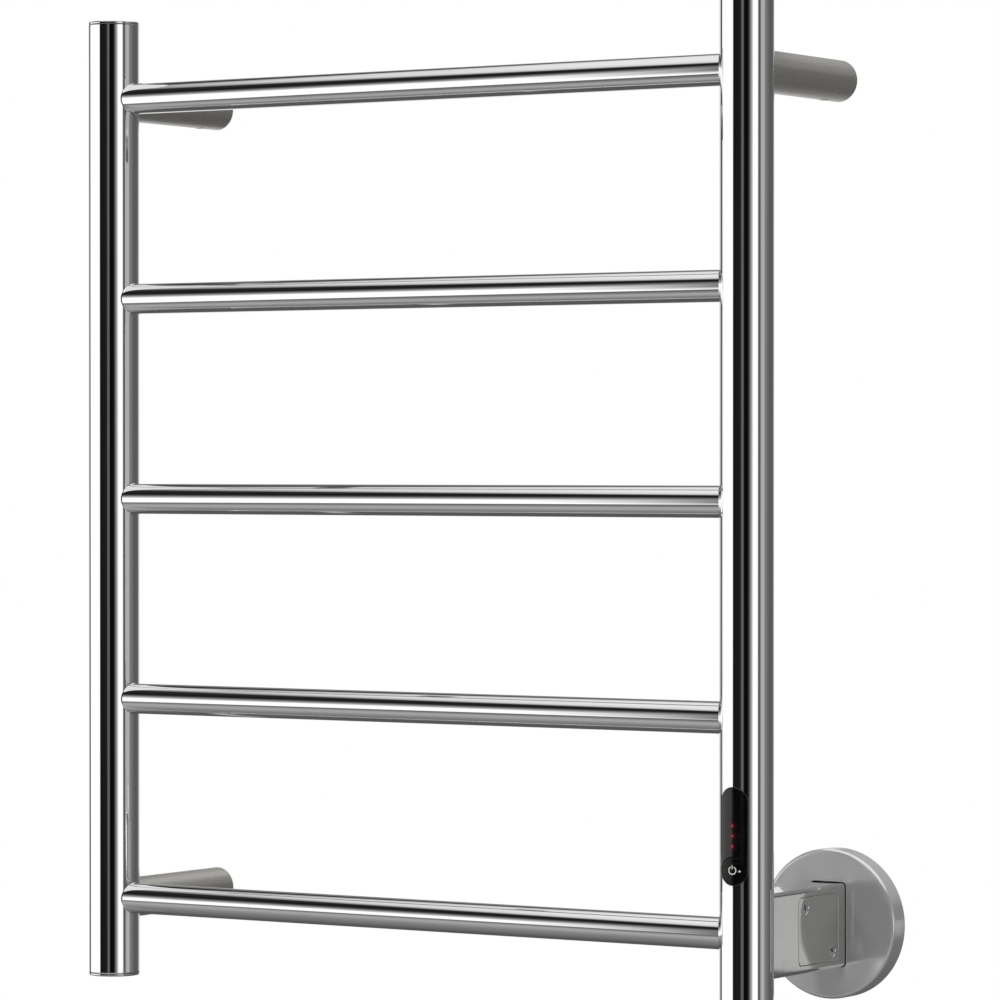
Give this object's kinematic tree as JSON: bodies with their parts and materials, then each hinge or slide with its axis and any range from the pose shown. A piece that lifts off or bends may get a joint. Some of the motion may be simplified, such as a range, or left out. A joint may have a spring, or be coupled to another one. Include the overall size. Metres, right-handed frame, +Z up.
{
  "type": "wall-hung towel warmer rack",
  "caption": "Electric towel rail for a wall: round polished bars between two round uprights, with a wiring arm, a wall rose and a push-button control.",
  "frame": {"origin": "on the wall plane, midway between the two top wall posts", "axes": "+X along the bars to the right as seen from the front, +Y into the wall (the front faces -Y), +Z up"},
  "size_m": [0.521, 0.1288, 0.602],
  "materials": {
    "chrome": "polished",
    "satin_steel": "satin",
    "plated_steel": "zinc plated",
    "screw_steel": "turned",
    "brass": "turned",
    "black_gloss": "gloss",
    "black_matte": "moulded",
    "white_plastic": "moulded",
    "white_mark": "inlaid",
    "red_lens": "clear",
    "circuit_board": "solder mask",
    "silicone": "extruded",
    "black_rubber": "moulded"
  },
  "bodies": {
    "rack": {"left_upright": "chrome", "right_upright": "chrome", "bar_1": "chrome", "bar_2": "chrome", "bar_3": "chrome", "bar_4": "chrome", "bar_5": "chrome", "left_top_cap": "chrome", "left_bottom_cap": "chrome", "right_top_cap": "chrome", "right_bottom_cap": "chrome", "top_left_sleeve": "satin_steel", "top_right_sleeve": "satin_steel", "bottom_left_sleeve": "satin_steel", "top_left_wall_post": "plated_steel", "top_right_wall_post": "plated_steel", "bottom_left_wall_post": "plated_steel", "sleeve_plugs": "plated_steel", "mounting_bolts": "plated_steel", "rivet_nuts": "plated_steel", "grub_screws": "plated_steel", "arm_housing": "chrome", "arm_side_cover": "chrome", "cover_gasket": "black_rubber", "cover_screws": "screw_steel", "cable_grommet": "black_rubber", "wall_rose": "chrome", "wall_plate": "plated_steel", "rose_ring": "black_rubber", "terminal_block": "white_plastic", "terminal_inserts": "brass", "terminal_screws": "plated_steel", "earth_stud": "brass", "earth_nuts": "brass", "heating_cable": "silicone", "cable_cores": "silicone", "cable_end_seal": "black_rubber", "thermal_fuse": "white_plastic", "control_lead": "black_rubber", "control_pad": "black_gloss", "control_board": "circuit_board", "board_screws": "plated_steel", "indicator_leds": "red_lens", "tact_switch": "black_matte"},
    "button": {"power_button": "black_gloss", "button_markings": "white_mark", "switch_plunger": "white_plastic"}
  },
  "joints": [
    {"name": "button_press", "type": "slide", "parent": "rack", "child": "button", "axis": [0, 1, 0], "range_m": [0, 0.0005], "stiffness_N_per_m": 1500, "springref_m": -0.0008}
  ]
}
